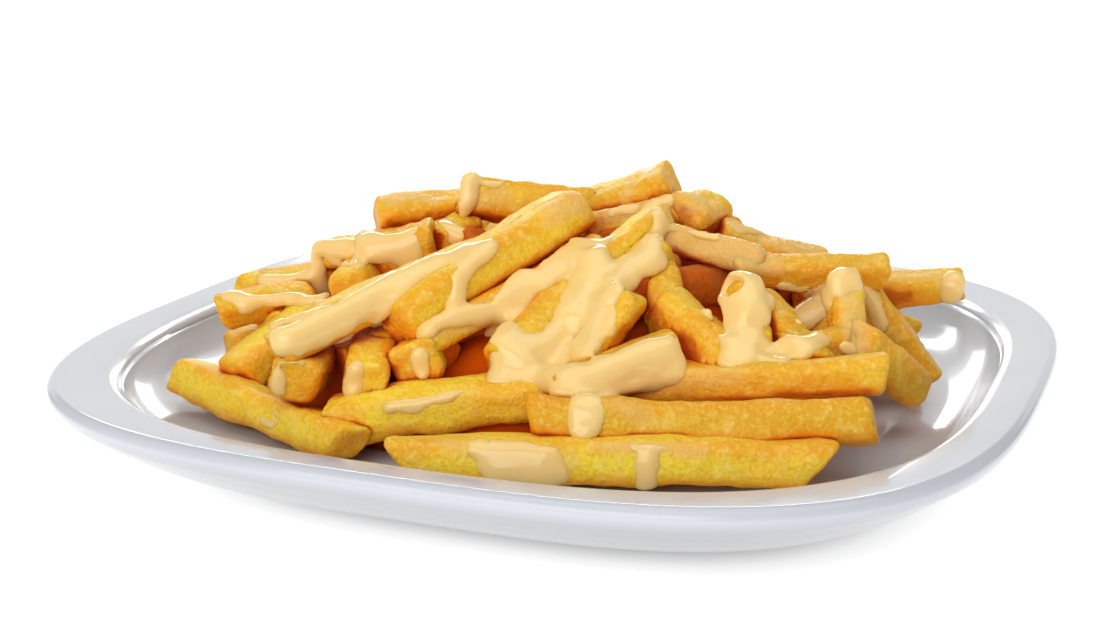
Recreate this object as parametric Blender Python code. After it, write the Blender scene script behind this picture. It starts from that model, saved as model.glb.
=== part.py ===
"""Cheese fries on a square porcelain plate, at real size.

The plate is one shell with a rounded square outline. The heap is one solid: a mound of packed fries, the fries
that show on it, and the thick runs of cheese sauce, all joined by one union. Sizes are in millimetres in the
functions, and each mesh is written in metres, +Z up, standing on Z = 0 at the plate's centre.
"""

import math
import random

import bmesh
import bpy
from mathutils import Matrix, Vector
from mathutils.bvhtree import BVHTree

MM = 0.001
FRY_COLOUR = (0.8, 0.44, 0.06)
FRY_ROUGHNESS = 0.45
PORCELAIN_COLOUR = (0.86, 0.87, 0.88)
PORCELAIN_ROUGHNESS = 0.12
SHARP_ANGLE = math.radians(35)

# Plate, in mm: half sizes are from the centre to the middle of a side
PLATE_HALF = 120
RIDGE_HEIGHT = 24
RIDGE_RADIUS = 2.4
RIM_INNER_HALF = 107
RIM_DROP = 1.4
WELL_HALF = 92
WELL_FLOOR = 10
OUTER_FACE_DROP = 4.5
OUTER_FACE_LEAN = 0.8
BELLY_ROUNDNESS = 1.7
FOOT_HALF = 82
FOOT_WIDTH = 5
FOOT_HEIGHT = 3
FOOT_BEVEL = 0.6
RIM_SQUARENESS = 3.1
WELL_SQUARENESS = 2.8
FOOT_SQUARENESS = 3.4
PLATE_SIDES = 52
WELL_STEPS = 5
RIDGE_STEPS = 4
BELLY_STEPS = 3

# The heap is laid out with its long side along X and its shown side towards -Y, then turned on the plate
HEAP_TURN = math.radians(20.76)
HEAP_MIDDLE = (-3, -8)
HEAP_HALF = (97, 74)
HEAP_RISE = 52
HEAP_BASE = 12
HEAP_FALL = 1.9
CORE_SHARE = 0.78
CORE_SINK = 15
CORE_EDGE = 2
CORE_RINGS = 7
CORE_SIDES = 28
CLEARANCE = 0.4

# A fry, in mm and degrees
SHOWN_SIDES = 8
HIDDEN_SIDES = 4
END_SHARE = 0.8
END_INSET = 2.2
BEND = 1.6
ROLL = 25
SKEW = 0.25
FLATNESS = (0.84, 0.98)
SECTION_SQUARENESS = 4
BACK_COUNT = 90
BACK_START = 10
BACK_FORWARD = 10
INNER_COUNT = 26
INNER_REACH = 0.74
INNER_SINK = 11
INNER_START = -40
FRY_LENGTH = (42, 66)
SHORTEST_FRY = 25
FRY_WIDTH = (9, 12)
FLOOR_GAP = 1
STEEPEST = 0.5
GOLDEN_ANGLE = math.pi * (3 - math.sqrt(5))
SEED = 7

# The fries that show: the middles of their two ends, and their width
FRONT_FRIES = (
    ((-38, -82, 17), (53, -82, 17), 12),
    ((-11, -74, 25), (66, -74, 25), 12),
    ((6, -56, 28), (70, -63, 33), 10),
    ((-57, -58, 18), (2, -60, 26), 13),
    ((-100, -20, 18), (-52, -68, 16), 11),
    ((23, -54, 35), (-6, -66, 28), 12),
)
LEFT_FRIES = (
    ((-68, -8, 32), (-84, -33, 21), 12),
    ((-66, -58, 28), (-62, -20, 33), 12),
    ((-50, -58, 28), (-47, -20, 33), 11),
    ((-38, -55, 31), (-36, -14, 38), 12),
    ((-92, -12, 32), (-69, -4, 34), 9),
    ((-84, 4, 34), (-64, 8, 39), 9),
    ((-88, 0, 35), (-78, 16, 34), 8),
    ((-79, -12, 27), (-66, 22, 34), 10),
    ((-58, -18, 40), (-50, 14, 46), 11),
    ((-69, 6, 43), (-52, 0, 46), 9),
    ((-94, 8, 16), (-62, 32, 20), 11),
    ((-84, 26, 16), (-54, 4, 36), 10),
)
MIDDLE_FRIES = (
    ((-70, -57, 35), (-17, -24, 53), 10),
    ((-1, -14, 61), (-43, -48, 38), 12),
    ((-57, -46, 29), (-28, -32, 41), 11),
    ((-36, -50, 36), (6, -22, 53), 9),
    ((6, -24, 50), (-17, -56, 31), 13),
    ((20, -24, 53), (-2, -46, 38), 10),
    ((12, -46, 47), (1, -58, 33), 9),
    ((20, -14, 59), (0, -34, 49), 9),
    ((18, -26, 49), (20, -44, 38), 9),
    ((20, -40, 43), (37, -57, 32), 12),
    ((38, -42, 48), (41, -58, 31), 7),
)
TOP_FRIES = (
    ((2, 8, 56), (24, 2, 64), 13),
    ((-31, 6, 60), (3, 6, 57), 12),
    ((-53, 4, 54), (-29, 14, 55), 10),
    ((0, -8, 53), (24, -4, 57), 10),
    ((-56, -4, 47), (-37, -8, 51), 11),
    ((-37, -8, 51), (-29, 6, 52), 9),
    ((26, -8, 57), (35, 8, 56), 12),
    ((18, -16, 53), (46, -22, 48), 9),
)
RIGHT_FRIES = (
    ((35, 0, 51), (64, 4, 42), 10),
    ((38, -22, 47), (77, -18, 46), 8),
    ((56, 0, 35), (100, -2, 39), 11),
    ((63, -35, 49), (65, -48, 33), 8),
    ((64, -48, 37), (82, -34, 20), 11),
    ((70, -15, 40), (88, -18, 16), 12),
    ((42, -34, 42), (54, -58, 32), 10),
    ((47, -53, 35), (63, -46, 36), 9),
    ((86, 22, 16), (57, -27, 32), 11),
    ((62, 34, 18), (90, 4, 17), 10),
    ((76, 30, 27), (44, 8, 41), 10),
    ((50, -24, 30), (68, -10, 38), 9),
)

# Thick runs of sauce: points across and up on an upright plane through the heap's front, and a half width
POURED_FROM = Vector((0, -452, 146))
POUR_PLANE = -40
SAUCE_DEPTH = 2.2
SAUCE_STEP = 5
SAUCE_SIDES = 6
SAUCE_LEAN = 0.6
TIP_SHARE = 0.45
FRONT_RUNS = (
    (((-73, 35), (-60, 39), (-43, 46), (-30, 54), (-16, 58)), 5),
    (((-1, 66), (-9, 61), (-20, 58), (-30, 52)), 4),
    (((5, 58), (-8, 50), (-12, 38), (-14, 27)), 8),
    (((17, 54), (2, 46), (-6, 36)), 6),
    (((22, 32), (5, 27), (-8, 22)), 6),
    (((2, 20), (3, 11)), 4),
    (((38, 46), (39, 38), (40, 31)), 6),
    (((24, 59), (32, 57), (40, 55)), 6),
    (((-26, 5), (-14, 4), (-2, 4)), 5),
    (((64, 49), (67, 39)), 5),
    (((-51, 54), (-38, 58)), 5),
)


def squareness_radius(angle, half, squareness):
    across = abs(math.cos(angle)) ** squareness
    along = abs(math.sin(angle)) ** squareness
    return half / (across + along) ** (1 / squareness)


def well_arc():
    """The radius and the sweep of the curve that climbs from the well's floor to the rim's inner edge."""
    reach = RIM_INNER_HALF - WELL_HALF
    climb = RIDGE_HEIGHT - RIM_DROP - WELL_FLOOR
    sweep = 2 * math.atan2(climb, reach)
    return reach / math.sin(sweep), sweep


def plate_profile():
    """Half size, height and squareness of each ring, from the well over the ridge to the foot's inner edge."""
    rings = []
    radius, sweep = well_arc()
    for step in range(WELL_STEPS + 1):
        angle = sweep * step / WELL_STEPS
        half = WELL_HALF + radius * math.sin(angle)
        rings.append((half, WELL_FLOOR + radius * (1 - math.cos(angle)), WELL_SQUARENESS))
    for step in range(RIDGE_STEPS + 1):
        angle = math.pi / 2 * (1 - step / RIDGE_STEPS)
        half = PLATE_HALF - RIDGE_RADIUS * (1 - math.cos(angle))
        rings.append((half, RIDGE_HEIGHT - RIDGE_RADIUS * (1 - math.sin(angle)), RIM_SQUARENESS))
    belly_half = PLATE_HALF - OUTER_FACE_LEAN
    belly_top = RIDGE_HEIGHT - OUTER_FACE_DROP
    belly_foot = FOOT_HALF + FOOT_HEIGHT
    for step in range(BELLY_STEPS + 1):
        share = step / BELLY_STEPS
        half = belly_half + (belly_foot - belly_half) * share
        height = FOOT_HEIGHT + (belly_top - FOOT_HEIGHT) * (1 - share) ** BELLY_ROUNDNESS
        rings.append((half, height, RIM_SQUARENESS + (FOOT_SQUARENESS - RIM_SQUARENESS) * share))
    rings.append((FOOT_HALF, FOOT_BEVEL, FOOT_SQUARENESS))
    rings.append((FOOT_HALF - FOOT_BEVEL, 0, FOOT_SQUARENESS))
    rings.append((FOOT_HALF - FOOT_WIDTH, 0, FOOT_SQUARENESS))
    rings.append((FOOT_HALF - FOOT_WIDTH - FOOT_BEVEL, FOOT_HEIGHT, FOOT_SQUARENESS))
    return rings


def plate_height(x, y):
    """The height of the plate's upper face under a point of the heap's layout, and the half size there."""
    turned_x = x * math.cos(HEAP_TURN) - y * math.sin(HEAP_TURN)
    turned_y = x * math.sin(HEAP_TURN) + y * math.cos(HEAP_TURN)
    squares = abs(turned_x) ** WELL_SQUARENESS + abs(turned_y) ** WELL_SQUARENESS
    half = squares ** (1 / WELL_SQUARENESS)
    if half <= WELL_HALF:
        return WELL_FLOOR, half
    if half >= RIM_INNER_HALF:
        return RIDGE_HEIGHT, half
    radius, _ = well_arc()
    return WELL_FLOOR + radius - math.sqrt(radius**2 - (half - WELL_HALF) ** 2), half


def new_object(name, bm, colour, roughness):
    """An object from a mesh in mm, with one plain material."""
    bmesh.ops.scale(bm, vec=(MM, MM, MM), verts=bm.verts)
    bmesh.ops.recalc_face_normals(bm, faces=bm.faces)
    mesh = bpy.data.meshes.new(name)
    bm.to_mesh(mesh)
    bm.free()
    obj = bpy.data.objects.new(name, mesh)
    bpy.context.scene.collection.objects.link(obj)
    material = bpy.data.materials.new(name)
    material.use_nodes = True
    shader = material.node_tree.nodes["Principled BSDF"]
    shader.inputs["Base Color"].default_value = (*colour, 1)
    shader.inputs["Roughness"].default_value = roughness
    mesh.materials.append(material)
    return obj


def bridge_rings(bm, rings):
    """Joins rings of points with quads and closes both ends."""
    loops = [[bm.verts.new(point) for point in ring] for ring in rings]
    count = len(loops[0])
    for lower, upper in zip(loops, loops[1:]):
        for side in range(count):
            after = (side + 1) % count
            bm.faces.new((lower[side], lower[after], upper[after], upper[side]))
    bm.faces.new(loops[0][::-1])
    bm.faces.new(loops[-1])


def make_plate():
    bm = bmesh.new()
    rings = []
    for half, height, squareness in plate_profile():
        ring = []
        for side in range(PLATE_SIDES):
            angle = 2 * math.pi * side / PLATE_SIDES
            radius = squareness_radius(angle, half, squareness)
            ring.append((radius * math.cos(angle), radius * math.sin(angle), height))
        rings.append(ring)
    bridge_rings(bm, rings)
    plate = new_object("plate", bm, PORCELAIN_COLOUR, PORCELAIN_ROUGHNESS)
    plate.data.shade_smooth()
    plate.data.set_sharp_from_angle(angle=SHARP_ANGLE)
    return plate


def dome_height(x, y):
    """The height of the heap's even outline over a point of its layout."""
    across = abs(x - HEAP_MIDDLE[0]) / HEAP_HALF[0]
    along = abs(y - HEAP_MIDDLE[1]) / HEAP_HALF[1]
    reach = math.hypot(across, along)
    return HEAP_BASE + HEAP_RISE * (1 - reach**HEAP_FALL)


def add_core(bm):
    """The mound of packed fries inside the heap."""
    rings = []
    for ring in range(CORE_RINGS + 1):
        share = 1 - ring / (CORE_RINGS + 1)
        loop = []
        for side in range(CORE_SIDES):
            angle = 2 * math.pi * side / CORE_SIDES
            x = HEAP_MIDDLE[0] + CORE_SHARE * share * HEAP_HALF[0] * math.cos(angle)
            y = HEAP_MIDDLE[1] + CORE_SHARE * share * HEAP_HALF[1] * math.sin(angle)
            height = max(dome_height(x, y) - CORE_SINK, WELL_FLOOR + CORE_EDGE)
            loop.append((x, y, height))
        rings.append(loop)
    foot = [(x, y, WELL_FLOOR + CLEARANCE) for x, y, _ in rings[0]]
    bridge_rings(bm, [foot, *rings])


def fry_sections(start, end, width, sides, draws):
    """Rings of points along a fry: a bent bar with rounded corners and ends cut a little askew."""
    start = Vector(start)
    end = Vector(end)
    along = (end - start).normalized()
    side = along.cross(Vector((0, 0, 1))).normalized()
    turn = Matrix.Rotation(math.radians(draws.uniform(-ROLL, ROLL)), 3, along)
    side = turn @ side
    up = side.cross(along)
    bend = side * draws.uniform(-BEND, BEND) + up * draws.uniform(-BEND, BEND)
    skews = (draws.uniform(-SKEW, SKEW), draws.uniform(-SKEW, SKEW))
    depth = width * draws.uniform(*FLATNESS)
    length = (end - start).length
    stations = (0, END_INSET / length, 0.5, 1 - END_INSET / length, 1)
    if sides == HIDDEN_SIDES:
        stations = (0, 0.5, 1)
    rings = []
    for station in stations:
        share = END_SHARE if station in (0, 1) else 1
        skew = skews[0] * (1 - station) + skews[1] * station
        middle = start.lerp(end, station) + bend * (4 * station * (1 - station))
        ring = []
        for corner in range(sides):
            angle = 2 * math.pi * (corner + 0.5) / sides
            reach = squareness_radius(angle, share, SECTION_SQUARENESS)
            across = width / 2 * reach * math.cos(angle)
            above = depth / 2 * reach * math.sin(angle)
            ring.append(middle + side * across + up * above + along * (skew * across))
        rings.append(ring)
    return rings


def spread_fries(count, reach, sink, back_start, draws):
    """Fries laid along the heap's even outline, spread by the golden angle, as their two ends and width."""
    fries = []
    for number in range(count):
        share = reach * math.sqrt((number + 0.5) / count)
        angle = number * GOLDEN_ANGLE
        x = HEAP_MIDDLE[0] + HEAP_HALF[0] * share * math.cos(angle)
        y = HEAP_MIDDLE[1] + HEAP_HALF[1] * share * math.sin(angle)
        heading = draws.uniform(0, math.pi)
        length = draws.uniform(*FRY_LENGTH)
        width = draws.uniform(*FRY_WIDTH)
        if y < back_start:
            continue
        ends = []
        for sign in (-0.5, 0.5):
            end_x = x + sign * length * math.cos(heading)
            end_y = y + sign * length * math.sin(heading)
            floor, half = plate_height(end_x, end_y)
            kept = min(1, reach * (WELL_HALF - FLOOR_GAP) / half)
            end_x *= kept
            end_y *= kept
            height = max(dome_height(end_x, end_y) - sink, floor + width / 2 + FLOOR_GAP)
            ends.append(Vector((end_x, end_y, height)))
        if min(ends[0].y, ends[1].y) < back_start - BACK_FORWARD:
            continue
        span = ends[1] - ends[0]
        if span.length > SHORTEST_FRY and abs(span.z) < STEEPEST * span.length:
            fries.append((ends[0], ends[1], width))
    return fries


def all_fries():
    draws = random.Random(SEED)
    shown = (*FRONT_FRIES, *LEFT_FRIES, *MIDDLE_FRIES, *TOP_FRIES, *RIGHT_FRIES)
    inner = spread_fries(INNER_COUNT, INNER_REACH, INNER_SINK, INNER_START, draws)
    back = spread_fries(BACK_COUNT, 1, 0, BACK_START, draws)
    fries = [(*fry, SHOWN_SIDES) for fry in (*shown, *back)]
    return fries + [(*fry, HIDDEN_SIDES) for fry in inner]


def joined(base, pieces):
    """One union of the base with every piece, applied, with its sealed hollows filled and loose scraps dropped."""
    group = bpy.data.collections.new("to join")
    bpy.context.scene.collection.children.link(group)
    for piece in pieces:
        bpy.context.scene.collection.objects.unlink(piece)
        group.objects.link(piece)
    union = base.modifiers.new("union", "BOOLEAN")
    union.operation = "UNION"
    union.operand_type = "COLLECTION"
    union.collection = group
    union.solver = "EXACT"
    bpy.context.view_layer.update()
    graph = bpy.context.evaluated_depsgraph_get()
    bm = bmesh.new()
    bm.from_object(base, graph)
    base.modifiers.remove(union)
    for piece in pieces:
        bpy.data.objects.remove(piece)
    bpy.data.collections.remove(group)
    keep_largest_shell(bm)
    bm.to_mesh(base.data)
    bm.free()
    return base


def keep_largest_shell(bm):
    """Keeps the outer shell: what is joined to it face to face along edges."""
    waiting = set(bm.faces)
    shells = []
    while waiting:
        shell = []
        found = [waiting.pop()]
        while found:
            face = found.pop()
            shell.append(face)
            for edge in face.edges:
                for other in edge.link_faces:
                    if other in waiting:
                        waiting.discard(other)
                        found.append(other)
        shells.append(shell)
    largest = max(shells, key=len)
    for shell in shells:
        if shell is not largest:
            bmesh.ops.delete(bm, geom=shell, context="FACES")


def lay_on(tree, across, up):
    """Where the line from the pouring point through a point of the upright plane meets the heap."""
    towards = (Vector((across, POUR_PLANE, up)) - POURED_FROM).normalized()
    hit, _, _, _ = tree.ray_cast(POURED_FROM * MM, towards)
    return hit / MM if hit else None


def sauce_run(tree, points, half_width):
    """Rings of points of one thick run that follows the heap's surface."""
    path = []
    for (x0, z0), (x1, z1) in zip(points, points[1:]):
        steps = max(1, round(math.hypot(x1 - x0, z1 - z0) / SAUCE_STEP))
        for step in range(steps):
            share = step / steps
            path.append(lay_on(tree, x0 + (x1 - x0) * share, z0 + (z1 - z0) * share))
    path.append(lay_on(tree, *points[-1]))
    path = [point for point in path if point]
    rings = []
    for number, point in enumerate(path):
        before = path[max(number - 1, 0)]
        after = path[min(number + 1, len(path) - 1)]
        smooth = (before + point * 2 + after) / 4
        along = (after - before).normalized()
        outward = (POURED_FROM - smooth).normalized() + Vector((0, 0, SAUCE_LEAN))
        outward = (outward - along * outward.dot(along)).normalized()
        side = along.cross(outward)
        share = TIP_SHARE if number in (0, len(path) - 1) else 1
        ring = []
        for corner in range(SAUCE_SIDES):
            angle = 2 * math.pi * corner / SAUCE_SIDES
            offset = side * (half_width * math.cos(angle)) + outward * (SAUCE_DEPTH * math.sin(angle))
            point = smooth + offset * share
            point.z = max(point.z, WELL_FLOOR + CLEARANCE)
            ring.append(point)
        rings.append(ring)
    return rings


def make_heap():
    bm = bmesh.new()
    add_core(bm)
    heap = new_object("fries_and_sauce", bm, FRY_COLOUR, FRY_ROUGHNESS)
    draws = random.Random(SEED)
    pieces = []
    for start, end, width, sides in all_fries():
        bm = bmesh.new()
        bridge_rings(bm, fry_sections(start, end, width, sides, draws))
        pieces.append(new_object("fry", bm, FRY_COLOUR, FRY_ROUGHNESS))
    heap = joined(heap, pieces)
    bm = bmesh.new()
    bm.from_mesh(heap.data)
    tree = BVHTree.FromBMesh(bm)
    bm.free()
    runs = []
    for points, half_width in FRONT_RUNS:
        bm = bmesh.new()
        bridge_rings(bm, sauce_run(tree, points, half_width))
        runs.append(new_object("run", bm, FRY_COLOUR, FRY_ROUGHNESS))
    heap = joined(heap, runs)
    heap.data.transform(Matrix.Rotation(HEAP_TURN, 4, "Z"))
    return heap


def main():
    for obj in list(bpy.data.objects):
        bpy.data.objects.remove(obj)
    make_plate()
    make_heap()


main()
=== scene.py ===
"""Looks of the cheese fries: a glazed plate, a heap of fried potato sticks and poured cheese sauce.

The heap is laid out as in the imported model, in millimetres, with its shown side towards -Y. Every mesh is
then turned on the plate and written in metres. The sauce is a skin of uneven thickness over the fries.
"""

import math
import random

import bpy
import numpy as np
import openvdb
from mathutils import Matrix, Vector
from mathutils.bvhtree import BVHTree


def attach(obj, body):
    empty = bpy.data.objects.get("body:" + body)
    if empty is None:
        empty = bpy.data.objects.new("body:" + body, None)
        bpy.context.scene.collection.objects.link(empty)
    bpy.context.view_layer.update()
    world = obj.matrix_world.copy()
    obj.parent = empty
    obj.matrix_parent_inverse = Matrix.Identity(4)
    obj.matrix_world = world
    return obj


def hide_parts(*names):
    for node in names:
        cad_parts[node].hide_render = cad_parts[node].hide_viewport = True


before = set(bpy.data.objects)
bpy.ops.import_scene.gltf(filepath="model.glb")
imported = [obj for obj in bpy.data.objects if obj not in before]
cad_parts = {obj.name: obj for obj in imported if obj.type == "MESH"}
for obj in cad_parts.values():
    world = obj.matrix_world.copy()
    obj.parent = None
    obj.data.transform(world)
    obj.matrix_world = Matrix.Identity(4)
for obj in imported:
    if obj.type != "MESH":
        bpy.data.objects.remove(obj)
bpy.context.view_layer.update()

MM = 0.001
GOLDEN_ANGLE = math.pi * (3 - math.sqrt(5))

# Seeds of the random draws
SEED = 7
LOOK_SEED = 23
END_SEED = 26
CORE_SEED = 28
BACK_SEED = 32
SAUCE_SEED = 34
NOOK_SEED = 36
WASH_SEED = 40

# The photograph's view: the pixel where the middle of the plate's rim falls, and the lens in pixels
PICTURE_WIDTH = 1116
PICTURE_HEIGHT = 630
RIM_MIDDLE_PIXEL = (579.0, 334.4)
LENS_PIXELS = 1778
CAMERA_ELEVATION = math.radians(15.14)
CAMERA_ROLL = math.radians(-0.49)
CAMERA_DISTANCE = 468
SENSOR = 36
CLIP_START = 0.01

# Plate, in mm
PLATE_HALF = 120
RIDGE_HEIGHT = 24
RIDGE_RADIUS = 2.4
RIM_INNER_HALF = 107
RIM_DROP = 1.4
RIM_EDGE_RADIUS = 2.4
RIM_EDGE_STEPS = 5
RIM_EDGE_SQUARENESS = 2.9
WELL_HALF = 92
WELL_RINGS = (0.2, 0.5, 0.8, 0.94)
WELL_FLOOR = 10
OUTER_FACE_DROP = 4.5
OUTER_FACE_LEAN = 0.8
BELLY_ROUNDNESS = 1.7
FOOT_HALF = 82
FOOT_WIDTH = 5
FOOT_HEIGHT = 3
FOOT_BEVEL = 0.6
RIM_SQUARENESS = 3.1
WELL_SQUARENESS = 2.8
FOOT_SQUARENESS = 3.4
PLATE_SIDES = 288
WELL_STEPS = 14
RIDGE_STEPS = 12
BELLY_STEPS = 14
CLIMB_SWEEP = 2 * math.atan2(RIDGE_HEIGHT - RIM_DROP - WELL_FLOOR, RIM_INNER_HALF - WELL_HALF)
CLIMB_RADIUS = (RIM_INNER_HALF - WELL_HALF) / math.sin(CLIMB_SWEEP)

# The heap's even outline
HEAP_TURN = math.radians(20.76)
HEAP_MIDDLE = (-3, -8)
HEAP_HALF = (97, 74)
HEAP_RISE = 52
HEAP_BASE = 12
HEAP_FALL = 1.9
CORE_SHARE = 0.78
CORE_SINK = 15
CORE_EDGE = 2
CORE_RINGS = 40
CORE_SIDES = 120
CORE_RELIEF = 1.2
CORE_LUMPS = ((1, 14), (0.5, 5))
CLEARANCE = 0.4

# A fry, in mm and degrees
SHOWN_SIDES = 8
HIDDEN_SIDES = 4
BEND = 1.6
ROLL = 25
SKEW = 0.25
FLATNESS = (0.84, 0.98)
BACK_COUNT = 90
BACK_START = 10
BACK_FORWARD = 10
INNER_COUNT = 26
INNER_REACH = 0.74
INNER_SINK = 11
INNER_START = -40
FRY_LENGTH = (42, 66)
SHORTEST_FRY = 25
FRY_WIDTH = (9, 12)
FLOOR_GAP = 1
STEEPEST = 0.5

# The fries that show: the middles of their two ends, and their width
FRONT_FRIES = (
    ((-38, -82, 17), (53, -82, 17), 12),
    ((-11, -74, 25), (66, -74, 25), 12),
    ((6, -56, 28), (70, -63, 33), 10),
    ((-57, -58, 18), (2, -60, 26), 13),
    ((-100, -20, 18), (-52, -68, 16), 11),
    ((23, -54, 35), (-6, -66, 28), 12),
)
LEFT_FRIES = (
    ((-68, -8, 32), (-84, -33, 21), 12),
    ((-66, -58, 28), (-62, -20, 33), 12),
    ((-50, -58, 28), (-47, -20, 33), 11),
    ((-38, -55, 31), (-36, -14, 38), 12),
    ((-92, -12, 32), (-69, -4, 34), 9),
    ((-84, 4, 34), (-64, 8, 39), 9),
    ((-88, 0, 35), (-78, 16, 34), 8),
    ((-79, -12, 27), (-66, 22, 34), 10),
    ((-58, -18, 40), (-50, 14, 46), 11),
    ((-69, 6, 43), (-52, 0, 46), 9),
    ((-94, 8, 16), (-62, 32, 20), 11),
    ((-84, 26, 16), (-54, 4, 36), 10),
)
MIDDLE_FRIES = (
    ((-70, -57, 35), (-17, -24, 53), 10),
    ((-1, -14, 61), (-43, -48, 38), 12),
    ((-57, -46, 29), (-28, -32, 41), 11),
    ((-36, -50, 36), (6, -22, 53), 9),
    ((6, -24, 50), (-17, -56, 31), 13),
    ((20, -24, 53), (-2, -46, 38), 10),
    ((12, -46, 47), (1, -58, 33), 9),
    ((20, -14, 59), (0, -34, 49), 9),
    ((18, -26, 49), (20, -44, 38), 9),
    ((20, -40, 43), (37, -57, 32), 12),
    ((38, -42, 48), (41, -58, 31), 7),
)
TOP_FRIES = (
    ((2, 8, 56), (24, 2, 64), 13),
    ((-31, 6, 60), (3, 6, 57), 12),
    ((-53, 4, 54), (-29, 14, 55), 10),
    ((0, -8, 53), (24, -4, 57), 10),
    ((-56, -4, 47), (-37, -8, 51), 11),
    ((-37, -8, 51), (-29, 6, 52), 9),
    ((26, -8, 57), (35, 8, 56), 12),
    ((18, -16, 53), (46, -22, 48), 9),
)
RIGHT_FRIES = (
    ((35, 0, 51), (64, 4, 42), 10),
    ((38, -22, 47), (77, -18, 46), 8),
    ((56, 0, 35), (100, -2, 39), 11),
    ((63, -35, 49), (65, -48, 33), 8),
    ((64, -48, 37), (82, -34, 20), 11),
    ((70, -15, 40), (88, -18, 16), 12),
    ((42, -34, 42), (54, -58, 32), 10),
    ((47, -53, 35), (63, -46, 36), 9),
    ((86, 22, 16), (57, -27, 32), 11),
    ((62, 34, 18), (90, 4, 17), 10),
    ((76, 30, 27), (44, 8, 41), 10),
    ((50, -24, 30), (68, -10, 38), 9),
)

# How deep the colour is of the fries that show, in the tables' order, from 0 for pale to 1
TONES = {
    0: 0.05, 1: 0.8, 2: 0.5, 3: 0, 4: 0.15, 6: 0.15, 7: 0.1, 8: 0.2, 9: 0.35, 18: 0.35, 19: 0.1, 22: 0.5,
    24: 0.4, 25: 0.15, 26: 0.8, 27: 0.3, 28: 0.6, 29: 0.6, 30: 0.5, 31: 0.6, 33: 0.8, 35: 0.5, 36: 0.8,
    37: 0.5, 38: 0.75, 39: 0.4, 40: 0, 41: 0.8, 42: 0.9, 43: 0.9, 44: 0.9, 48: 0.5,
}
OTHER_TONES = (0.2, 0.7)

# A fry's fine surface: each unevenness is its height and size in mm, and its waves' shift from fry to fry
SWELL = (0.55, 22, 37)
DENTS = (0.28, 6.5, 53)
CRUST = (0.11, 2.2, 71)
END_WOBBLE = (0.35, 7, 91)
WAVE_COUNT = 16
WAVE_SPREAD = (0.6, 1.6)
SHOWN_RING = 28
HIDDEN_RING = 14
SHOWN_STATIONS = 26
HIDDEN_STATIONS = 10
SECTION_SQUARENESS = 4.2
END_RADIUS = 1.7
END_STEPS = 4
END_RINGS = (0.4, 0.75)
END_FADE = 3
# Painted shade: short rays find how closed in each point is, and the fries' colour darkens to orange and dark
# red there
NOOK_RAYS = 10
NOOK_LIFT = 0.5
NOOK_FORWARD = 1.1
NOOK_REACH = 18
# Painted shade: the least share of shade painted on hidden fries in front of the back ones
INNER_SHADE = 0.84
# Painted shade: the gain of the deeper orange painted on faces that look downwards
UNDERSIDE_SHADE_GAIN = 1.2
LEAN = 0.28
LEANS = {0: (-0.8, 0.95), 4: (0.3, 0.5), 24: (0.5, -0.3)}
TAPERS = {39: 0.72}
LEAST_TAPER = 0.88

# Sauce: each stroke is its first and last half width and its thickness in mm, and its way across the heap in
# picture pixels
SAUCE_TOP = {
    "left cap": (3, 2.4, 2.6, ((469, 178), (468, 190), (464, 205))),
    "left cap ridge": (1.8, 1.4, 0.9, ((482, 181), (503, 183))),
    "left cap strand": (1.6, 1.4, 0.8, ((463, 206), (464, 216))),
    "behind the tip": (2.2, 2.6, 0.8, ((612, 212), (640, 204), (668, 199))),
    "slope start": (2.6, 2.4, 0.9, ((735, 226), (752, 230))),
    "slope end": (2, 1.6, 0.7, ((790, 243), (812, 249))),
    "knob": (2.8, 3, 1.1, ((448, 224), (457, 234))),
}
SAUCE_LEFT = {
    "corner cube": (3.2, 3, 1.3, ((233, 296), (246, 302))),
    "lower ledge": (2, 2.4, 1.2, ((262, 299), (285, 298), (318, 301))),
    "upper ledge": (2.4, 2.2, 1.2, ((266, 280), (294, 277), (316, 273))),
    "upright": (2.2, 2.4, 1.3, ((316, 250), (318, 272), (322, 298))),
    "cube top": (2.8, 3.2, 1.4, ((320, 246), (340, 246), (364, 251))),
    "cube brow": (1.6, 2, 0.9, ((332, 262), (360, 265))),
    "square piece": (4.6, 5.4, 1.5, ((366, 238), (386, 247), (404, 250))),
    "square piece edge": (3.6, 3.2, 1.3, ((412, 234), (416, 250))),
    "first end": (2.4, 2.6, 1.1, ((278, 376), (276, 390))),
    "first end brow": (1.2, 1.2, 0.8, ((270, 362), (296, 361), (316, 367))),
    "second end": (2.4, 2.6, 1.2, ((356, 370), (351, 390))),
    "third end": (2.2, 2.2, 1.2, ((420, 354), (421, 370))),
    "low smear": (1.6, 1.4, 0.7, ((262, 420), (274, 426))),
    "low strand": (1.2, 1.2, 0.8, ((274, 406), (281, 426))),
}
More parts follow.
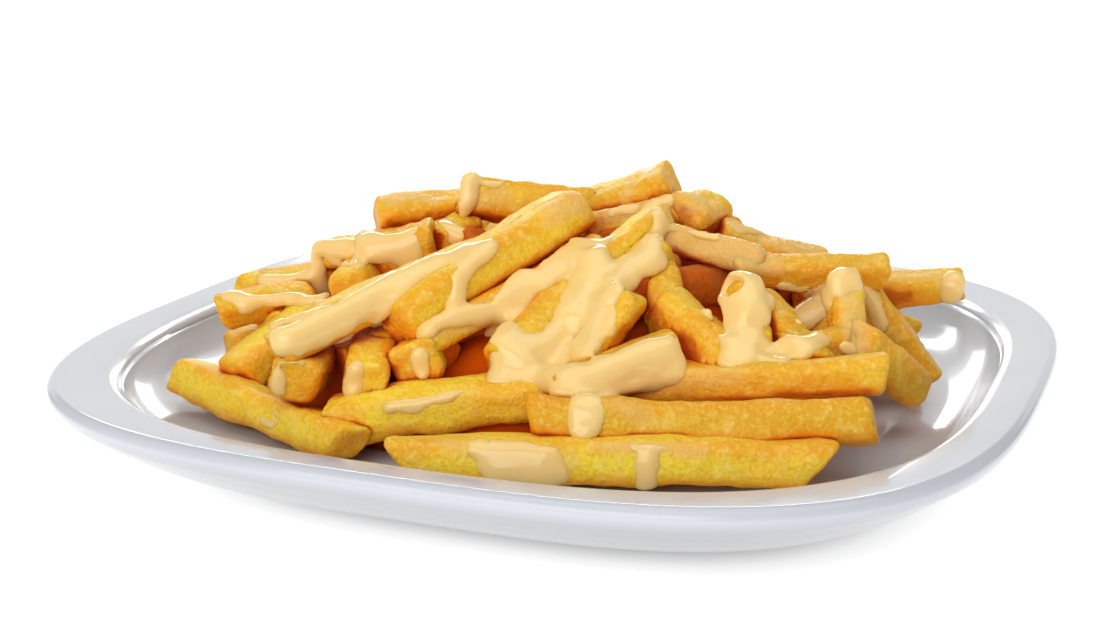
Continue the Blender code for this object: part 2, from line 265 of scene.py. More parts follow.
SAUCE_MIDDLE = {
    "long coat end": (4, 4.6, 1.7, ((277, 338), (296, 337))),
    "long coat": (4.8, 4, 1.7, ((300, 335), (326, 326), (348, 315))),
    "long coat bend": (3.6, 3.8, 1.6, ((350, 312), (374, 301), (392, 287))),
    "long coat ridge": (2, 2, 1.3, ((274, 325), (310, 314), (345, 304), (372, 289), (394, 273))),
    "long coat upper": (3.8, 3.2, 1.6, ((396, 281), (424, 269), (452, 257), (484, 245))),
    "long coat drop": (1.6, 1.4, 1.3, ((381, 312), (376, 322), (371, 334))),
    "edge": (1.1, 1.1, 0.9, ((494, 231), (520, 216), (544, 203), (572, 189))),
    "edge tip": (2.6, 3, 0.5, ((564, 206), (572, 212))),
    "joining drip": (3.2, 2.2, 1.5, ((478, 252), (468, 264), (460, 280), (453, 300))),
    "third bar": (2, 2.8, 1.5, ((424, 334), (440, 321), (462, 315), (500, 311))),
    "third bar upper": (3.6, 4.6, 1.6, ((504, 301), (528, 285), (556, 270), (584, 250))),
    "pour left": (4.2, 4.2, 2, ((507, 312), (505, 330), (504, 352), (506, 376))),
    "pour foot": (4.2, 4, 1.6, ((512, 370), (530, 366), (548, 358))),
    "pour middle": (4.4, 5.2, 2, ((596, 256), (590, 278), (580, 302), (568, 330), (550, 352))),
    "pour right": (4.2, 3.2, 1.7, ((650, 256), (634, 264), (616, 282), (602, 300), (592, 324), (582, 350))),
    "pour floor": (3.8, 3.8, 1.3, ((518, 350), (530, 342), (542, 340))),
    "pour corner": (3.4, 3.4, 1.4, ((520, 358), (545, 370), (572, 362))),
    "pour patch": (3, 3.4, 1.9, ((514, 350), (520, 358), (550, 374))),
    "pour fill": (5, 5, 3.2, ((574, 328), (574, 340), (566, 352))),
    "pour edge": (2.6, 2.6, 1.5, ((494, 334), (494, 352), (498, 368))),
    "pour base": (3, 3, 1.5, ((544, 378), (558, 377), (572, 368))),
    "pour wing": (1.6, 1.2, 0.9, ((486, 356), (478, 368), (468, 381))),
    "tip edge": (1.6, 1.8, 1.1, ((656, 212), (640, 221), (620, 233), (604, 244))),
    "tip strand": (2.2, 3, 1.5, ((660, 212), (655, 232), (650, 250))),
    "spoon": (1.8, 2.2, 0.9, ((614, 313), (607, 330))),
    "wedge": (5.4, 4.8, 1.8, ((662, 350), (636, 358), (608, 371))),
    "wedge left": (4.4, 3, 1.5, ((600, 374), (580, 382), (560, 386))),
    "wedge low": (3.6, 3.6, 1.4, ((660, 372), (634, 380), (604, 388))),
    "wedge end": (3.2, 3.4, 1.5, ((672, 354), (671, 372))),
    "wedge drip": (4.2, 3.4, 1.7, ((590, 390), (588, 408), (582, 426))),
}
SAUCE_RIGHT = {
    "coated bar ridge": (1.4, 1.4, 0.9, ((670, 227), (700, 234), (730, 240), (758, 246))),
    "knob head": (8.2, 8.2, 3.6, ((741, 288), (743, 293))),
    "knob neck": (4.4, 4.4, 0.8, ((745, 304), (745, 316), (744, 328))),
    "knob skirt": (4.4, 5.4, 1.7, ((743, 338), (742, 352))),
    "knob skirt side": (1.8, 2.4, 1.2, ((762, 342), (770, 350), (780, 357))),
    "knob foot": (3, 2.2, 1.4, ((730, 358), (756, 358), (782, 360))),
    "under ledge": (2.6, 2.4, 1, ((784, 288), (804, 293), (824, 290))),
    "under strand": (1.2, 1.2, 0.9, ((768, 284), (771, 300))),
    "wet pool": (4, 4, 1.5, ((804, 315), (814, 307), (826, 298))),
    "wet pool edge": (1.6, 1.6, 0.9, ((800, 308), (799, 322))),
    "curl": (3, 3, 1.3, ((787, 346), (804, 348), (820, 340))),
    "upright cap": (2.8, 3, 1.6, ((834, 278), (842, 272), (850, 277))),
    "upright cap low": (2.2, 2, 1, ((834, 288), (842, 294))),
    "upright cap ridge": (1.4, 1.4, 3, ((832, 280), (842, 273), (854, 271))),
    "upright cap low ridge": (1.3, 1.3, 2.4, ((832, 292), (844, 286), (856, 285))),
    "upright strand": (1.9, 1.7, 1.5, ((862, 286), (874, 304), (881, 326))),
    "upright foot": (1.8, 1.6, 0.9, ((843, 346), (852, 351))),
    "far tip": (3.4, 3.4, 1.8, ((957, 280), (953, 294))),
    "dab": (1.4, 1.2, 0.8, ((712, 320), (714, 334))),
}
SAUCE_FRONT = {
    "strip": (2.4, 1.4, 1.1, ((392, 406), (416, 405), (440, 397), (470, 388))),
    "sheet top": (1.4, 1.8, 0.8, ((450, 438), (488, 440), (528, 443))),
    "sheet upper": (2.4, 2.6, 1.3, ((474, 449), (505, 452), (542, 455))),
    "sheet": (4.8, 4.4, 1.6, ((500, 468), (520, 472), (540, 473))),
    "sheet edge": (2.4, 2, 1, ((552, 456), (562, 478))),
    "front drip": (2, 2.6, 1.4, ((650, 447), (646, 466), (643, 486))),
    "front drip top": (1.4, 1.6, 1, ((630, 446), (650, 448), (668, 446))),
}
BARE_SPOTS = {
    "under the coat": (3.6, 3.6, 0, ((340, 345), (356, 338), (370, 332))),
    "knob spot": (3.4, 3.4, 0, ((731, 288), (735, 288))),
    "pour hole": (3.6, 2.8, 0, ((527, 318), (540, 312), (548, 305))),
    "long coat gap": (4.6, 4.6, 0, ((402, 312), (420, 300), (438, 287))),
    "tip patch": (3.2, 3.2, 0, ((622, 236), (634, 229), (646, 222))),
}

# Thin washes of sauce that only colour the fries, written as the strokes are
WASHES = {
    "peak strand": (1.6, 2, 0.9, ((631, 168), (630, 180), (626, 196))),
    "long tip": (3.6, 4.2, 0.9, ((556, 212), (568, 207), (580, 204))),
    "peak face": (2.6, 2.2, 0.7, ((648, 172), (664, 170))),
    "short piece": (3, 3.4, 0.4, ((690, 206), (706, 198), (718, 208))),
    "short piece spot": (2, 2.2, 0.9, ((694, 208), (704, 209))),
    "behind the tip": (4, 4, 0.6, ((606, 213), (640, 208), (668, 203))),
    "back left top": (3.4, 3, 0.8, ((386, 197), (410, 196), (432, 197))),
    "left cap face": (3.4, 3, 0.6, ((470, 200), (500, 196))),
    "slope": (4, 4, 0.8, ((738, 228), (758, 236), (790, 246), (816, 252))),
    "coated bar": (7.5, 7.5, 1, ((676, 242), (712, 250), (752, 257))),
    "third bar": (4, 4.6, 0.6, ((440, 326), (480, 316), (520, 306))),
    "front flare": (1.8, 1.6, 0.8, ((606, 447), (640, 446), (700, 450))),
    "front left": (2.4, 2, 0.6, ((446, 440), (476, 452), (570, 462))),
    "upper bar": (3, 2.4, 0.6, ((618, 404), (636, 414), (650, 420))),
    "far tip": (2.6, 3, 0.8, ((900, 276), (936, 276), (956, 286))),
    "upright": (4, 4, 1, ((846, 300), (852, 320), (856, 342))),
    "right bar": (3, 3, 0.5, ((640, 386), (700, 378), (740, 372))),
}
SAUCE_STEP = 5
VOXEL = 0.8
BAND = 3
BRIDGE = 3.5
FRY_ROUNDNESS = 0.3
SAUCE_UNDER = 1.3
SAUCE_SHARE = 0.9
SAUCE_EDGE = 0.3
SAUCE_FLATNESS = 0.38
EDGE_WANDER = 0.26
SAG = 0.3
WANDER_SIZE = 7
WANDER_COUNT = 8
WASH_WANDER = 0.35
THIN_DEPTH = 1.4
WET_REACHES = (3, 2)
WET_GAIN = 1.5
GRID_MARGIN = 10

# Sauce runs on the sides that don't show
BACK_RUNS = 13
BACK_RUN_POINTS = 26
BACK_HEADINGS = (-12, 192)
BACK_STAGGER = (0.2, 0.8)
BACK_WANDER = 0.5
BACK_WAVES = 3
BACK_RADIUS = (3.5, 6.5)
BACK_TAPER = 0.3
BACK_THICKNESS = (1.4, 2.2)
BACK_FIRST = (0.12, 0.3)
BACK_LAST = (0.6, 0.95)
BACK_RAISE = 60
BACK_MARGIN = 6
SKY = 120

# Materials: colours are in linear light, a noise is its scale and detail, a bump its distance and strength
FRY_PALE = (0.97, 0.73, 0.045)
FRY_GOLDEN = (0.70, 0.37, 0.012)
FRY_NOISES = {"patches": (75, 3), "flecks": (380, 4), "grains": (1100, 3)}
FRY_ATTRIBUTES = ("tone", "edge", "end", "under", "nook_shade", "wash", "wet")
# Each layer over the fries' colour: its source, two values of that with the layer's share at each, its colour
FRY_LAYERS = (
    ("patches", (0.38, 0.62), (0, 0.45), (0.84, 0.39, 0.012)),
    ("edge", (0, 0.9), (0, 0.99), (0.80, 0.28, 0.006)),
    ("end", (0, 1), (0, 0.25), (0.80, 0.33, 0.01)),
    ("flecks", (0.50, 0.70), (0, 0.5), (0.93, 0.70, 0.17)),
    ("grains", (0.48, 0.66), (0, 0.45), (0.80, 0.40, 0.012)),
    ("grains", (0.34, 0.46), (0.4, 0), (0.95, 0.74, 0.14)),
    # painted shade: faces that look downwards go deeper orange
    ("under", (0, 0.75), (0, 0.75), (0.95, 0.34, 0.006)),
    # painted shade: where the short rays meet the heap the colour goes deep orange
    ("nook_shade", (0.28, 0.78), (0, 0.85), (0.85, 0.24, 0.004)),
    ("wash", (0, 1), (0, 0.85), (0.83, 0.50, 0.15)),
)
# Painted shade: the most closed in points go dark red
DEEP_NOOK = (0.6, 0.95)
DEEP_SHADE_COLOUR = (0.46, 0.055, 0.001)
DRY_FLECKS = (0.3, 0.7)
DRY_ROUGHNESS = (0.34, 0.5)
WET_ROUGHNESS = (0.22, 0.22, 0.22)
DEEP_ROUGHNESS = (0.9, 0.9, 0.9)
FRY_SHADER = {
    "Subsurface Weight": 0.3,
    "Subsurface Radius": (1, 0.5, 0.2),
    "Subsurface Scale": 0.003,
    "Specular IOR Level": 0.2,
}
GRAIN_RELIEF = 0.5
FRY_BUMP = (0.0007, 0.9)
# The packed fries' colour is painted shade: the dark orange of fries deep in the heap
CORE_NOISE = (60, 3)
CORE_SPAN = (0.35, 0.65)
CORE_SHADE_COLOURS = ((0.38, 0.042, 0.001), (0.50, 0.07, 0.0012))
CORE_SHADER = {"Roughness": 0.6, "Specular IOR Level": 0}
CLOUD_SPAN = (0.3, 0.7)
SAUCE_CLOUDS = (55, 2)
SAUCE_COLOURS = ((0.88, 0.60, 0.215), (0.92, 0.66, 0.25))
THIN_SPAN = (0.25, 0.85)
THIN_SHARES = (0, 0.6)
THIN_COLOUR = (0.89, 0.54, 0.13)
SAUCE_SHADER = {
    "Roughness": 0.11,
    "Subsurface Weight": 0.3,
    "Subsurface Radius": (1, 0.6, 0.35),
    "Subsurface Scale": 0.0012,
    "Specular IOR Level": 0.5,
}
SAUCE_RIPPLES = (130, 1)
SAUCE_BUMP = (0.0006, 0.25)
GLAZE_CLOUDS = (18, 2)
GLAZE_COLOURS = ((0.52, 0.54, 0.58), (0.56, 0.58, 0.62))
# Painted shade: the plate's outer face, below the ridge, is coloured darker
OUTER_FACE_SHADE_COLOUR = (0.28, 0.285, 0.30)
GLAZE_SHADER = {"Roughness": 0.2, "Specular IOR Level": 0.3, "Coat Weight": 0.4, "Coat Roughness": 0.04}
GLAZE_WAVES = (30, 1)
GLAZE_BUMP = (0.0005, 0.12)

# The floor, in metres, and its glow by the distance from the middle of the plate's shadow: the glow drops
# near the plate, a painted shadow
FLOOR_HALF = 3.0
FLOOR_SHADER = {
    "Base Color": (0.5, 0.5, 0.505),
    "Roughness": 0.9,
    "Specular IOR Level": 0,
    "Emission Color": (1, 1, 1),
}
# Painted shadow: the glow is lower near the plate, around a middle moved off the plate's centre
SHADOW_MIDDLE = (0.006, -0.001)
GLOW_DISTANCES = (0.08, 0.09, 0.097, 0.104, 0.2, 0.6)
GLOW_SHARES = (0.3, 0.7, 0.83, 0.96, 0.98, 1)

# Soft boxes: their place in the heap's layout and size, in metres, and their power in watts
SOFT_BOXES = {
    "back": ((-0.1, 0.8, 0.5), (0.8, 0.11), 2.8),
    "above": ((0.1, -0.1, 1.1), (1.2, 1.0), 5.2),
    "front": ((-0.45, -1.0, 0.5), (1.2, 0.8), 7.8),
    "low back": ((0.0, 1.3, 0.27), (2.4, 0.5), 2.6),
    "glare": ((0.01, 1.2, 0.23), (0.5, 0.28), 2.0),
}
LIT_POINT = (0, 0, 0.03)
WORLD_LIGHT = 0.33

random_looks = np.random.default_rng(LOOK_SEED)


def squareness_radius(angle, half, squareness):
    across = np.abs(np.cos(angle)) ** squareness
    along = np.abs(np.sin(angle)) ** squareness
    return half / (across + along) ** (1 / squareness)


def waves(points, size, seed, count=WAVE_COUNT):
    """Smooth unevenness of about one at most, with a period near the given size in mm."""
    draws = np.random.default_rng(seed)
    total = np.zeros(points.shape[:-1])
    for _ in range(count):
        direction = draws.normal(size=3)
        direction *= 2 * math.pi / size * draws.uniform(*WAVE_SPREAD) / np.linalg.norm(direction)
        total += np.sin(points @ direction + draws.uniform(0, 2 * math.pi))
    return total * math.sqrt(2 / count) / 2


def turn_points(points, angle):
    """Points turned on the plate, counterclockwise seen from above."""
    cosine = math.cos(angle)
    sine = math.sin(angle)
    x = points[:, 0] * cosine - points[:, 1] * sine
    y = points[:, 0] * sine + points[:, 1] * cosine
    return np.stack([x, y, points[:, 2]], axis=1)


def add_object(name, data):
    obj = bpy.data.objects.new(name, data)
    bpy.context.scene.collection.objects.link(obj)
    return obj


def new_piece(name, points, faces, material, turned=True):
    """A smooth-shaded object from points in mm, turned from the heap's layout unless told otherwise."""
    points = np.asarray(points, dtype=float)
    if turned:
        points = turn_points(points, HEAP_TURN)
    mesh = bpy.data.meshes.new(name)
    mesh.from_pydata((points * MM).tolist(), [], faces)
    mesh.shade_smooth()
    mesh.materials.append(material)
    obj = add_object(name, mesh)
    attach(obj, "root")
    return obj


def add_attribute(obj, name, values):
    attribute = obj.data.attributes.new(name, "FLOAT", "POINT")
    attribute.data.foreach_set("value", np.asarray(values, dtype=np.float32))


def ring_faces(rings, sides, first=0):
    """Quads between rings of points that follow each other, with a fan at each end's middle point."""
    faces = []
    for ring in range(rings - 1):
        base = first + 1 + ring * sides
        for side in range(sides):
            after = (side + 1) % sides
            faces.append((base + side, base + after, base + sides + after, base + sides + side))
    last = first + 1 + (rings - 1) * sides
    for side in range(sides):
        after = (side + 1) % sides
        faces.append((first, first + 1 + after, first + 1 + side))
        faces.append((last + sides, last + side, last + after))
    return faces


def plate_profile():
    """Half size, height and squareness of each ring, from the well's middle to the foot's inner edge."""
    rings = [(WELL_HALF * share, WELL_FLOOR, WELL_SQUARENESS) for share in WELL_RINGS]
    for step in range(WELL_STEPS):
        angle = CLIMB_SWEEP * step / WELL_STEPS
        half = WELL_HALF + CLIMB_RADIUS * math.sin(angle)
        rings.append((half, WELL_FLOOR + CLIMB_RADIUS * (1 - math.cos(angle)), WELL_SQUARENESS))
    rings += rim_edge()
    for step in range(RIDGE_STEPS + 1):
        angle = math.pi / 2 * (1 - step / RIDGE_STEPS)
        half = PLATE_HALF - RIDGE_RADIUS * (1 - math.cos(angle))
        rings.append((half, RIDGE_HEIGHT - RIDGE_RADIUS * (1 - math.sin(angle)), RIM_SQUARENESS))
    belly_half = PLATE_HALF - OUTER_FACE_LEAN
    belly_top = RIDGE_HEIGHT - OUTER_FACE_DROP
    belly_foot = FOOT_HALF + FOOT_HEIGHT
    rings.append((PLATE_HALF - OUTER_FACE_LEAN / 4, belly_top + RIDGE_RADIUS / 2, RIM_SQUARENESS))
    for step in range(BELLY_STEPS + 1):
        share = step / BELLY_STEPS
        half = belly_half + (belly_foot - belly_half) * share
        height = FOOT_HEIGHT + (belly_top - FOOT_HEIGHT) * (1 - share) ** BELLY_ROUNDNESS
        rings.append((half, height, RIM_SQUARENESS + (FOOT_SQUARENESS - RIM_SQUARENESS) * share))
    rings.append((FOOT_HALF, FOOT_BEVEL, FOOT_SQUARENESS))
    rings.append((FOOT_HALF - FOOT_BEVEL, 0, FOOT_SQUARENESS))
    rings.append((FOOT_HALF - FOOT_WIDTH, 0, FOOT_SQUARENESS))
    rings.append((FOOT_HALF - FOOT_WIDTH - FOOT_BEVEL, FOOT_HEIGHT, FOOT_SQUARENESS))
    return rings


def rim_edge():
    """The small rounding where the climb from the well turns into the rim's flat top."""
    slope = math.atan2(RIM_DROP, PLATE_HALF - RIDGE_RADIUS - RIM_INNER_HALF)
    top = RIDGE_HEIGHT - RIM_DROP
    rings = []
    for step in range(RIM_EDGE_STEPS + 1):
        angle = CLIMB_SWEEP + (slope - CLIMB_SWEEP) * step / RIM_EDGE_STEPS
        turn = (step / RIM_EDGE_STEPS - 0.5) * 2
        half = RIM_INNER_HALF + RIM_EDGE_RADIUS * turn * math.cos(angle)
        height = top + RIM_EDGE_RADIUS * turn * math.sin(angle) - RIM_EDGE_RADIUS * (1 - turn**2) / 4
        rings.append((half, height, RIM_EDGE_SQUARENESS))
    return rings


def make_plate(material):
    angles = np.linspace(0, 2 * math.pi, PLATE_SIDES, endpoint=False)
    profile = plate_profile()
    points = [(0, 0, WELL_FLOOR)]
    outer_face_shade = [0]
    past_ridge = False
    for half, height, squareness in profile:
        radius = squareness_radius(angles, half, squareness)
        for x, y in zip(radius * np.cos(angles), radius * np.sin(angles)):
            points.append((x, y, height))
        past_ridge = past_ridge or half >= PLATE_HALF
        # Painted shade: rings below the ridge blend into the outer face's darker colour
        drop = RIDGE_HEIGHT - RIDGE_RADIUS - height if past_ridge else 0
        outer_face_shade += [min(max(drop / OUTER_FACE_DROP, 0), 1)] * PLATE_SIDES
    points.append((0, 0, FOOT_HEIGHT))
    outer_face_shade.append(1)
    faces = ring_faces(len(profile), PLATE_SIDES)
    plate = new_piece("glazed_plate", points, [face[::-1] for face in faces], material, turned=False)
    add_attribute(plate, "outer_face_shade", outer_face_shade)
    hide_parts("plate")


def plate_height(x, y):
    """The height of the plate's upper face under a point of the heap's layout, and the half size there."""
    turned_x = x * math.cos(HEAP_TURN) - y * math.sin(HEAP_TURN)
    turned_y = x * math.sin(HEAP_TURN) + y * math.cos(HEAP_TURN)
    squares = abs(turned_x) ** WELL_SQUARENESS + abs(turned_y) ** WELL_SQUARENESS
    half = squares ** (1 / WELL_SQUARENESS)
    if half <= WELL_HALF:
        return WELL_FLOOR, half
    if half >= RIM_INNER_HALF:
        return RIDGE_HEIGHT, half
    return WELL_FLOOR + CLIMB_RADIUS - math.sqrt(CLIMB_RADIUS**2 - (half - WELL_HALF) ** 2), half


def dome_height(x, y):
    """The height of the heap's even outline over points of its layout."""
    across = np.abs(x - HEAP_MIDDLE[0]) / HEAP_HALF[0]
    along = np.abs(y - HEAP_MIDDLE[1]) / HEAP_HALF[1]
    return HEAP_BASE + HEAP_RISE * (1 - np.hypot(across, along) ** HEAP_FALL)


def spread_fries(count, reach, sink, front, draws):
    """Fries laid along the heap's even outline, spread by the golden angle, as their two ends and width."""
    fries = []
    for number in range(count):
        share = reach * math.sqrt((number + 0.5) / count)
        angle = number * GOLDEN_ANGLE
        x = HEAP_MIDDLE[0] + HEAP_HALF[0] * share * math.cos(angle)
        y = HEAP_MIDDLE[1] + HEAP_HALF[1] * share * math.sin(angle)
        heading = draws.uniform(0, math.pi)
        length = draws.uniform(*FRY_LENGTH)
        width = draws.uniform(*FRY_WIDTH)
        if y < front:
            continue
        ends = []
        for sign in (-0.5, 0.5):
            end_x = x + sign * length * math.cos(heading)
            end_y = y + sign * length * math.sin(heading)
            floor, half = plate_height(end_x, end_y)
            kept = min(1, reach * (WELL_HALF - FLOOR_GAP) / half)
            end_x *= kept
            end_y *= kept
            height = max(float(dome_height(end_x, end_y)) - sink, floor + width / 2 + FLOOR_GAP)
            ends.append(Vector((end_x, end_y, height)))
        if min(ends[0].y, ends[1].y) < front - BACK_FORWARD:
            continue
        span = ends[1] - ends[0]
        if span.length > SHORTEST_FRY and abs(span.z) < STEEPEST * span.length:
            fries.append((ends[0], ends[1], width))
    return fries


def fry_shape(start, end, width, sides, draws):
    """A fry's own axes, bend, cuts and thickness."""
    start = Vector(start)
    end = Vector(end)
    along = (end - start).normalized()
    side = along.cross(Vector((0, 0, 1))).normalized()
    turn = Matrix.Rotation(math.radians(draws.uniform(-ROLL, ROLL)), 3, along)
    side = turn @ side
    up = side.cross(along)
    bend = side * draws.uniform(-BEND, BEND) + up * draws.uniform(-BEND, BEND)
    skews = (draws.uniform(-SKEW, SKEW), draws.uniform(-SKEW, SKEW))
    depth = width * draws.uniform(*FLATNESS)
    return {
        "start": np.array(start),
        "along": np.array(along),
        "side": np.array(side),
        "up": np.array(up),
        "bend": np.array(bend),
        "skews": skews,
        "width": width,
        "depth": depth,
        "length": (end - start).length,
        "shown": sides == SHOWN_SIDES,
        "leans": random_looks.uniform(-LEAN, LEAN, 2),
    }


def all_fries():
    draws = random.Random(SEED)
    shown = (*FRONT_FRIES, *LEFT_FRIES, *MIDDLE_FRIES, *TOP_FRIES, *RIGHT_FRIES)
    inner = spread_fries(INNER_COUNT, INNER_REACH, INNER_SINK, INNER_START, draws)
    back = spread_fries(BACK_COUNT, 1, 0, BACK_START, draws)
    fries = [(*fry, SHOWN_SIDES) for fry in (*shown, *back)]
    fries += [(*fry, HIDDEN_SIDES) for fry in inner]
    draws = random.Random(SEED)
    shapes = [fry_shape(*fry, draws) for fry in fries]
    for number, shape in enumerate(shapes):
        shape["leans"] = LEANS.get(number, shape["leans"])
        shape["tone"] = TONES.get(number, random_looks.uniform(*OTHER_TONES))
        shape["taper"] = TAPERS.get(number, random_looks.uniform(LEAST_TAPER, 1))
    return shapes


def fry_stations(fry):
    """Distances along the fry and the share of its section there, with each end's rim rounded."""
    length = fry["length"]
    flat = 1 - END_RADIUS * 2 / fry["width"]
    ends = [(0, flat * share) for share in END_RINGS]
    for step in range(END_STEPS + 1):
        angle = math.pi / 2 * step / END_STEPS
        ends.append((END_RADIUS * (1 - math.cos(angle)), flat + (1 - flat) * math.sin(angle)))
    count = SHOWN_STATIONS if fry["shown"] else HIDDEN_STATIONS
    body = np.linspace(END_RADIUS, length - END_RADIUS, count + 2)[1:-1]
    far = [(length - distance, share) for distance, share in reversed(ends)]
    return [*ends, *((distance, 1) for distance in body), *far]


def fry_points(fry, number):
    """One fry's surface points, and how near each is to an edge and to an end."""
    sides = SHOWN_RING if fry["shown"] else HIDDEN_RING
    angles = 2 * math.pi * (np.arange(sides) + 0.5) / sides
    stations = fry_stations(fry)
    rows = []
    nearness = []
    for distance, share in stations:
        station = distance / fry["length"]
        reach = squareness_radius(angles, 1, SECTION_SQUARENESS) * share * (1 - (1 - fry["taper"]) * station)
        skew = fry["skews"][0] * (1 - station) + fry["skews"][1] * station
        across = fry["width"] / 2 * reach * np.cos(angles)
        above = fry["depth"] / 2 * reach * np.sin(angles)
        middle = fry["start"] + fry["along"] * distance + fry["bend"] * (4 * station * (1 - station))
        row = middle + across[:, None] * fry["side"] + above[:, None] * fry["up"]
        lean = fry["leans"][0] * (1 - station) ** 3 + fry["leans"][1] * station**3
        rows.append(row + (skew * across + lean * above)[:, None] * fry["along"])
        corner = np.abs(np.sin(2 * angles)) ** 3
        to_end = min(distance, fry["length"] - distance)
        nearness.append(np.stack([corner, np.full(sides, math.exp(-to_end / END_FADE))], axis=1))
    points = np.concatenate(rows)
    centres = np.repeat([row.mean(axis=0) for row in rows], sides, axis=0)
    outward = points - centres
    outward /= np.maximum(np.linalg.norm(outward, axis=1, keepdims=True), 1e-6)
    bumps = np.zeros(len(points))
    for layer, (height, size, shift) in enumerate((SWELL, DENTS, CRUST)):
        bumps += height * waves(points + number * shift, size, LOOK_SEED + layer)
    points = points + outward * bumps[:, None]
    height, size, shift = END_WOBBLE
    wobble = height * waves(points + number * shift, size, END_SEED)
    nearness = np.concatenate(nearness)
    points += fry["along"] * (wobble * nearness[:, 1])[:, None]
    first = rows[0].mean(axis=0)
    last = rows[-1].mean(axis=0)
    tips = np.array([[0, 1], [0, 1]], dtype=float)
    points = np.concatenate([[first], points, [last]])
    nearness = np.concatenate([tips[:1], nearness, tips[1:]])
    return points, nearness, ring_faces(len(stations), sides)


def make_fries(shapes, material):
    """All fries as one piece, with their points and faces, and which points of the hidden fries under the
    shown ones get painted shade.
    """
    points = []
    nearness = []
    tones = []
    painted_shade_points = []
    faces = []
    first = 0
    for number, fry in enumerate(shapes):
        own, near, own_faces = fry_points(fry, number)
        points.append(own)
        nearness.append(near)
        tones.append(np.full(len(own), fry["tone"]))
        # Hidden fries in front of the back ones get painted shade
        painted_shade_points.append((own[:, 1] < BACK_START) & (not fry["shown"]))
        faces += [tuple(corner + first for corner in reversed(face)) for face in own_faces]
        first += len(own)
    points = np.concatenate(points)
    fries = new_piece("fries", points, faces, material)
    near = np.concatenate(nearness)
    add_attribute(fries, "edge", near[:, 0])
    add_attribute(fries, "end", near[:, 1])
    add_attribute(fries, "tone", np.concatenate(tones))
    # Painted shade: the more a face looks downwards, the deeper orange it is painted
    painted_underside_shade = [max(-vertex.normal.z, 0) * UNDERSIDE_SHADE_GAIN for vertex in fries.data.vertices]
    add_attribute(fries, "under", painted_underside_shade)
    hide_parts("fries_and_sauce")
    return fries, points, faces, np.concatenate(painted_shade_points)


def nook_shade_shares(tree, fries, points):
    """The share of short rays from each point that meet another part of the heap, which sets the shade
    painted there.
    """
    draws = np.random.default_rng(NOOK_SEED)
    spread = draws.normal(size=(NOOK_RAYS, 3))
    spread /= np.linalg.norm(spread, axis=1, keepdims=True)
    normals = turn_points(np.array([vertex.normal[:] for vertex in fries.data.vertices]), -HEAP_TURN)
    starts = points + normals * NOOK_LIFT
    met = np.zeros(len(points))
    for ray in spread:
        directions = normals * NOOK_FORWARD + ray
        for index, (start, direction) in enumerate(zip(starts.tolist(), directions.tolist())):
            met[index] += tree.ray_cast(start, direction, NOOK_REACH)[0] is not None
    return met / NOOK_RAYS


def core_points():
    """The mound of packed fries inside the heap, lumpy on top."""
    points = []
    for ring in range(CORE_RINGS + 1):
        share = CORE_SHARE * (1 - ring / (CORE_RINGS + 1))
        angles = np.linspace(0, 2 * math.pi, CORE_SIDES, endpoint=False)
        x = HEAP_MIDDLE[0] + share * HEAP_HALF[0] * np.cos(angles)
        y = HEAP_MIDDLE[1] + share * HEAP_HALF[1] * np.sin(angles)
        height = np.maximum(dome_height(x, y) - CORE_SINK, WELL_FLOOR + CORE_EDGE)
        if ring == 0:
            foot = np.stack([x, y, np.full(CORE_SIDES, WELL_FLOOR + CLEARANCE)], axis=1)
            points.append(foot)
        points.append(np.stack([x, y, height], axis=1))
    points = np.concatenate(points)
    lumps = np.zeros(len(points))
    for layer, (height, size) in enumerate(CORE_LUMPS):
        lumps += height * waves(points, size, CORE_SEED + layer)
    points[CORE_SIDES:, 2] -= CORE_RELIEF * (1 + lumps[CORE_SIDES:])
    points[:, 2] = np.maximum(points[:, 2], WELL_FLOOR + CLEARANCE)
    return points


def make_core(material):
    ring_points = core_points()
    top = ring_points[-CORE_SIDES:].mean(axis=0)
    bottom = (*HEAP_MIDDLE, WELL_FLOOR + CLEARANCE)
    points = np.concatenate([[bottom], ring_points, [top]])
    core = new_piece("packed_fries", points, ring_faces(CORE_RINGS + 2, CORE_SIDES), material)
    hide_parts("fries_and_sauce")


def camera_axes():
    """The camera's right, up and backward directions in the heap's layout."""
    right = Vector((1, 0, 0))
    back = Vector((0, -math.cos(CAMERA_ELEVATION), math.sin(CAMERA_ELEVATION)))
    up = Vector((0, math.sin(CAMERA_ELEVATION), math.cos(CAMERA_ELEVATION)))
    cosine = math.cos(CAMERA_ROLL)
    sine = math.sin(CAMERA_ROLL)
    return right * cosine - up * sine, right * sine + up * cosine, back


def camera_eye():
    _, _, back = camera_axes()
    return back * CAMERA_DISTANCE + Vector((0, 0, RIDGE_HEIGHT))


def picture_ray(pixel):
    """The direction from the camera through a pixel of the picture, in the heap's layout."""
    right, up, back = camera_axes()
    across = pixel[0] - RIM_MIDDLE_PIXEL[0]
    above = RIM_MIDDLE_PIXEL[1] - pixel[1]
    return (right * across + up * above - back * LENS_PIXELS).normalized()


def stroke_samples(tree, strokes):
    """Points of the strokes where they lie on the heap, each with its half width and thickness."""
    samples = []
    eye = camera_eye()
    for first, last, thickness, pixels in strokes.values():
        spans = [math.dist(before, after) for before, after in zip(pixels, pixels[1:])]
        done = 0
        for (u0, v0), (u1, v1), span in zip(pixels, pixels[1:], spans):
            steps = max(1, round(span / SAUCE_STEP))
            for step in range(steps + 1):
                share = step / steps
                hit = tree.ray_cast(eye, picture_ray((u0 + (u1 - u0) * share, v0 + (v1 - v0) * share)))[0]
                if hit:
                    way = (done + span * share) / sum(spans)
                    samples.append((*hit, first + (last - first) * way, thickness))
            done += span
    return samples


def hidden_from(tree, eye, place, radius):
    """Whether the heap hides a place, and what lies within a radius of it, from the eye."""
    right, up, _ = camera_axes()
    for offset in (Vector(), right * radius, -right * radius, up * radius, -up * radius):
        towards = place + offset - eye
        distance = tree.ray_cast(eye, towards.normalized())[3]
        if distance is None or distance > towards.length - BACK_MARGIN:
            return False
    return True


